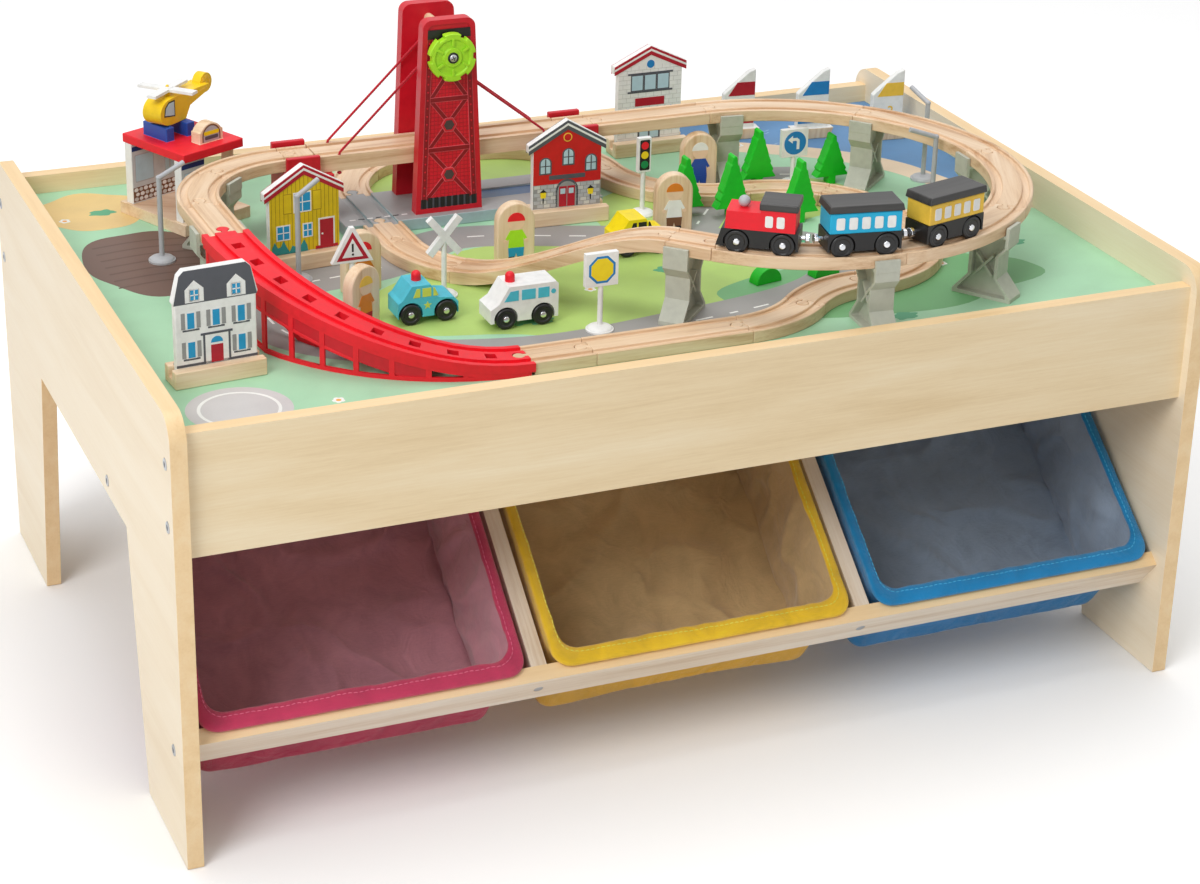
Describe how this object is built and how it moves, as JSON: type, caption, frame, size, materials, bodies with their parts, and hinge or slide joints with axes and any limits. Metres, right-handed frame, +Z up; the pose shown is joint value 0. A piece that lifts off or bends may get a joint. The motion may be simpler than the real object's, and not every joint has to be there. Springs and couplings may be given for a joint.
{
  "type": "train table",
  "caption": "Wooden play table with a tray top, a two-level toy railway with a lift bridge and town scenery, and a sloping rack of lift-out fabric bins.",
  "frame": {"origin": "on the floor, under the middle of the table", "axes": "X along the table's length, -Y towards the bins, Z up"},
  "size_m": [1, 0.69, 0.601],
  "materials": {
    "maple": "clear-lacquered maple-look board",
    "map": "printed play-map board",
    "cleat": "raw softwood",
    "steel": "zinc-plated steel",
    "red_cloth": "woven non-slip fabric",
    "yellow_cloth": "woven non-slip fabric",
    "blue_cloth": "woven non-slip fabric",
    "beech": "sanded beech",
    "red_plastic": "moulded, glossy",
    "pier_plastic": "moulded, satin",
    "base_paint": "painted board",
    "lime": "moulded, glossy",
    "cord": "braided cord",
    "black_paint": "gloss paint",
    "red_paint": "gloss paint",
    "blue_paint": "gloss paint",
    "yellow_paint": "gloss paint",
    "cyan_paint": "gloss paint",
    "white_paint": "gloss paint",
    "green_paint": "satin paint",
    "chrome": "polished",
    "grey_paint": "satin paint"
  },
  "bodies": {
    "table": {"left_end_panel": "maple", "right_end_panel": "maple", "front_rail": "maple", "back_rail": "maple", "play_board": "map", "board_bearers": "cleat", "bin_front_rail": "maple", "bin_back_rail": "maple", "bin_dividers": "maple", "panel_bolts": "steel", "rack_screws": "steel", "lower_track": "beech", "upper_track": "beech", "wavy_ramp_track": "beech", "red_ramp_track": "red_plastic", "track_piers": "pier_plastic", "bridge_base": "base_paint", "bridge_pylons": "red_paint", "bridge_landings": "red_paint", "left_cords": "cord", "right_cords": "cord", "heliport_building": "white_paint", "heliport_deck": "red_paint", "helicopter_body": "yellow_paint", "house_fronts": "yellow_paint", "house_blocks": "beech", "traffic_signs": "white_paint", "street_lamps": "grey_paint", "trees_and_bushes": "green_paint", "figures": "beech", "sail_boats": "white_paint"},
    "red_bin": {"red_bin": "red_cloth"},
    "yellow_bin": {"yellow_bin": "yellow_cloth"},
    "blue_bin": {"blue_bin": "blue_cloth"},
    "left_deck": {"left_deck": "beech"},
    "right_deck": {"right_deck": "beech"},
    "winder": {"winding_axle": "beech", "winding_knob": "lime"},
    "train": {"train_chassis": "black_paint", "train_roofs": "black_paint", "engine_body": "red_paint", "blue_coach_body": "blue_paint", "yellow_coach_body": "yellow_paint", "coupling_magnets": "chrome"},
    "police_car": {"police_car_body": "cyan_paint"},
    "ambulance": {"ambulance_body": "white_paint"},
    "taxi": {"taxi_body": "yellow_paint"},
    "rotor": {"helicopter_rotor": "white_paint"},
    "engine_front_wheels": {"engine_front_wheels": "black_paint"},
    "engine_rear_wheels": {"engine_rear_wheels": "black_paint"},
    "blue_coach_front_wheels": {"blue_coach_front_wheels": "black_paint"},
    "blue_coach_rear_wheels": {"blue_coach_rear_wheels": "black_paint"},
    "yellow_coach_front_wheels": {"yellow_coach_front_wheels": "black_paint"},
    "yellow_coach_rear_wheels": {"yellow_coach_rear_wheels": "black_paint"},
    "police_car_front_wheels": {"police_car_front_wheels": "black_paint"},
    "police_car_rear_wheels": {"police_car_rear_wheels": "black_paint"},
    "ambulance_front_wheels": {"ambulance_front_wheels": "black_paint"},
    "ambulance_rear_wheels": {"ambulance_rear_wheels": "black_paint"},
    "taxi_front_wheels": {"taxi_front_wheels": "black_paint"},
    "taxi_rear_wheels": {"taxi_rear_wheels": "black_paint"}
  },
  "joints": [
    {"name": "red_bin_lift", "type": "slide", "parent": "table", "child": "red_bin", "axis": [0, -0.5184, 0.8552], "range_m": [0, 0.08]},
    {"name": "yellow_bin_lift", "type": "slide", "parent": "table", "child": "yellow_bin", "axis": [0, -0.5184, 0.8552], "range_m": [0, 0.08]},
    {"name": "blue_bin_lift", "type": "slide", "parent": "table", "child": "blue_bin", "axis": [0, -0.5184, 0.8552], "range_m": [0, 0.08]},
    {"name": "left_deck_lift", "type": "hinge", "parent": "table", "child": "left_deck", "pos_m": [-0.107, 0.141, 0.461], "axis": [0, 1, 0], "range_deg": [0, 55], "deforming": ["left_cords"]},
    {"name": "right_deck_lift", "type": "hinge", "parent": "table", "child": "right_deck", "pos_m": [-0.087, 0.141, 0.461], "axis": [0, -1, 0], "range_deg": [0, 55], "deforming": ["right_cords"]},
    {"name": "winder_turn", "type": "hinge", "parent": "table", "child": "winder", "pos_m": [-0.097, 0.141, 0.565], "axis": [0, 1, 0], "range_deg": [0, 660]},
    {"name": "train_run", "type": "hinge", "parent": "table", "child": "train", "pos_m": [0.1955, -0.071, 0.469], "axis": [0, 0, 1], "range_deg": [0, 150]},
    {"name": "engine_front_roll", "type": "hinge", "parent": "train", "child": "engine_front_wheels", "pos_m": [0.05921, -0.23338, 0.4773], "axis": [-0.5639, -0.8259, 0], "continuous": true},
    {"name": "engine_rear_roll", "type": "hinge", "parent": "train", "child": "engine_rear_wheels", "pos_m": [0.09389, -0.25706, 0.4773], "axis": [-0.5639, -0.8259, 0], "continuous": true},
    {"name": "blue_coach_front_roll", "type": "hinge", "parent": "train", "child": "blue_coach_front_wheels", "pos_m": [0.13819, -0.27511, 0.4773], "axis": [-0.1736, -0.9848, 0], "continuous": true},
    {"name": "blue_coach_rear_roll", "type": "hinge", "parent": "train", "child": "blue_coach_rear_wheels", "pos_m": [0.17955, -0.2824, 0.4773], "axis": [-0.1736, -0.9848, 0], "continuous": true},
    {"name": "yellow_coach_front_roll", "type": "hinge", "parent": "train", "child": "yellow_coach_front_wheels", "pos_m": [0.22734, -0.28059, 0.4773], "axis": [0.2474, -0.9689, 0], "continuous": true},
    {"name": "yellow_coach_rear_roll", "type": "hinge", "parent": "train", "child": "yellow_coach_rear_wheels", "pos_m": [0.26804, -0.2702, 0.4773], "axis": [0.2474, -0.9689, 0], "continuous": true},
    {"name": "police_car_run", "type": "slide", "parent": "table", "child": "police_car", "axis": [1, 0, 0], "range_m": [0, 0.06]},
    {"name": "police_car_front_roll", "type": "hinge", "parent": "police_car", "child": "police_car_front_wheels", "pos_m": [-0.187, -0.122, 0.4013], "axis": [0, 1, 0], "continuous": true},
    {"name": "police_car_rear_roll", "type": "hinge", "parent": "police_car", "child": "police_car_rear_wheels", "pos_m": [-0.221, -0.122, 0.4013], "axis": [0, 1, 0], "continuous": true},
    {"name": "ambulance_run", "type": "slide", "parent": "table", "child": "ambulance", "axis": [1, 0, 0], "range_m": [-0.08, 0]},
    {"name": "ambulance_front_roll", "type": "hinge", "parent": "ambulance", "child": "ambulance_front_wheels", "pos_m": [-0.107, -0.16, 0.4013], "axis": [0, 1, 0], "continuous": true},
    {"name": "ambulance_rear_roll", "type": "hinge", "parent": "ambulance", "child": "ambulance_rear_wheels", "pos_m": [-0.143, -0.16, 0.4013], "axis": [0, 1, 0], "continuous": true},
    {"name": "taxi_run", "type": "slide", "parent": "table", "child": "taxi", "axis": [1, 0, 0], "range_m": [0, 0.05]},
    {"name": "taxi_front_roll", "type": "hinge", "parent": "taxi", "child": "taxi_front_wheels", "pos_m": [0.067, -0.03, 0.4013], "axis": [0, 1, 0], "continuous": true},
    {"name": "taxi_rear_roll", "type": "hinge", "parent": "taxi", "child": "taxi_rear_wheels", "pos_m": [0.033, -0.03, 0.4013], "axis": [0, 1, 0], "continuous": true},
    {"name": "rotor_spin", "type": "hinge", "parent": "table", "child": "rotor", "pos_m": [-0.34942, 0.21992, 0.522], "axis": [0, 0, 1], "continuous": true}
  ],
  "couplings": [
    {"joint": "right_deck_lift", "follows": "left_deck_lift", "ratio": 1},
    {"joint": "winder_turn", "follows": "left_deck_lift", "ratio": 11.7},
    {"joint": "engine_front_roll", "follows": "train_run", "ratio": -19.273},
    {"joint": "engine_rear_roll", "follows": "train_run", "ratio": -19.273},
    {"joint": "blue_coach_front_roll", "follows": "train_run", "ratio": -19.273},
    {"joint": "blue_coach_rear_roll", "follows": "train_run", "ratio": -19.273},
    {"joint": "yellow_coach_front_roll", "follows": "train_run", "ratio": -19.273},
    {"joint": "yellow_coach_rear_roll", "follows": "train_run", "ratio": -19.273},
    {"joint": "police_car_front_roll", "follows": "police_car_run", "rad_per_m": 100},
    {"joint": "police_car_rear_roll", "follows": "police_car_run", "rad_per_m": 100},
    {"joint": "ambulance_front_roll", "follows": "ambulance_run", "rad_per_m": 100},
    {"joint": "ambulance_rear_roll", "follows": "ambulance_run", "rad_per_m": 100},
    {"joint": "taxi_front_roll", "follows": "taxi_run", "rad_per_m": 100},
    {"joint": "taxi_rear_roll", "follows": "taxi_run", "rad_per_m": 100}
  ]
}
